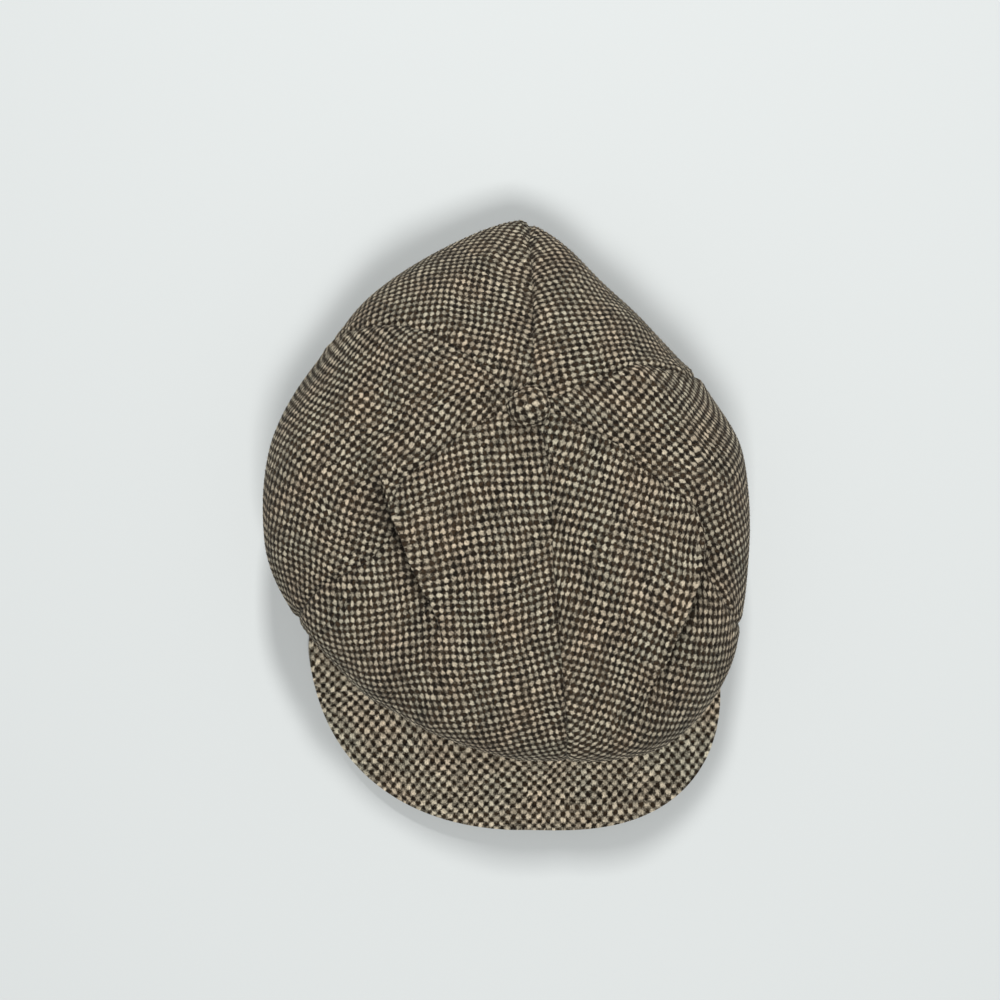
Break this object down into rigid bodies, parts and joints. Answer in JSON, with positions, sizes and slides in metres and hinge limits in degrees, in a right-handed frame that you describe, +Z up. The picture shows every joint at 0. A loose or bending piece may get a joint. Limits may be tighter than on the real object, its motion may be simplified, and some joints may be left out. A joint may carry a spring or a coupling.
{
  "type": "newsboy cap",
  "caption": "Newsboy cap: a soft full crown of sewn panels on a headband, with a stiff arched visor, a covered button and a lining.",
  "frame": {"origin": "centre of the head opening, on the plane that the headband stands on", "axes": "+Z up through the crown, -Y forward over the visor, +X to the wearer's left"},
  "size_m": [0.2449, 0.316, 0.1188],
  "materials": {
    "crown_tweed": "woollen basket-weave tweed, black-brown and cream, cut on the bias",
    "headband_tweed": "woollen basket-weave tweed, black-brown and cream",
    "button_tweed": "woollen basket-weave tweed stretched over a button",
    "visor_tweed": "woollen basket-weave tweed, cut on the straight grain",
    "lining_satin": "black satin lining",
    "sweatband_cotton": "black cotton twill, topstitched",
    "buckram": "stiff buckram strip",
    "label_tape": "plain woven tape, bare",
    "visor_board": "flexible sheet plastic",
    "button_metal": "pressed sheet metal"
  },
  "bodies": {
    "cap": {"crown_panel_front_left": "crown_tweed", "crown_panel_front_right": "crown_tweed", "crown_panel_side_left": "crown_tweed", "crown_panel_side_right": "crown_tweed", "crown_panel_back_left": "crown_tweed", "crown_panel_back_right": "crown_tweed", "lining_panel_front_left": "lining_satin", "lining_panel_front_right": "lining_satin", "lining_panel_side_left": "lining_satin", "lining_panel_side_right": "lining_satin", "lining_panel_back_left": "lining_satin", "lining_panel_back_right": "lining_satin", "headband": "headband_tweed", "band_stiffener": "buckram", "sweatband": "sweatband_cotton", "care_label": "label_tape"},
    "visor": {"visor_top_cover": "visor_tweed", "visor_board": "visor_board", "visor_under_cover": "visor_tweed"},
    "button": {"button_cover": "button_tweed", "button_shell": "button_metal", "button_back": "button_metal", "button_washer": "button_metal"}
  },
  "joints": [
    {"name": "visor_tilt", "type": "hinge", "parent": "cap", "child": "visor", "pos_m": [0, -0.0332, 0.02], "axis": [-1, 0, 0], "range_deg": [-2, 8], "stiffness_Nm_per_rad": 2.5},
    {"name": "crown_press", "type": "slide", "parent": "cap", "child": "button", "axis": [0, 0, -1], "range_m": [0, 0.03], "stiffness_N_per_m": 60, "deforming": ["crown_panel_front_left", "crown_panel_front_right", "crown_panel_side_left", "crown_panel_side_right", "crown_panel_back_left", "crown_panel_back_right", "lining_panel_front_left", "lining_panel_front_right", "lining_panel_side_left", "lining_panel_side_right", "lining_panel_back_left", "lining_panel_back_right"]}
  ]
}
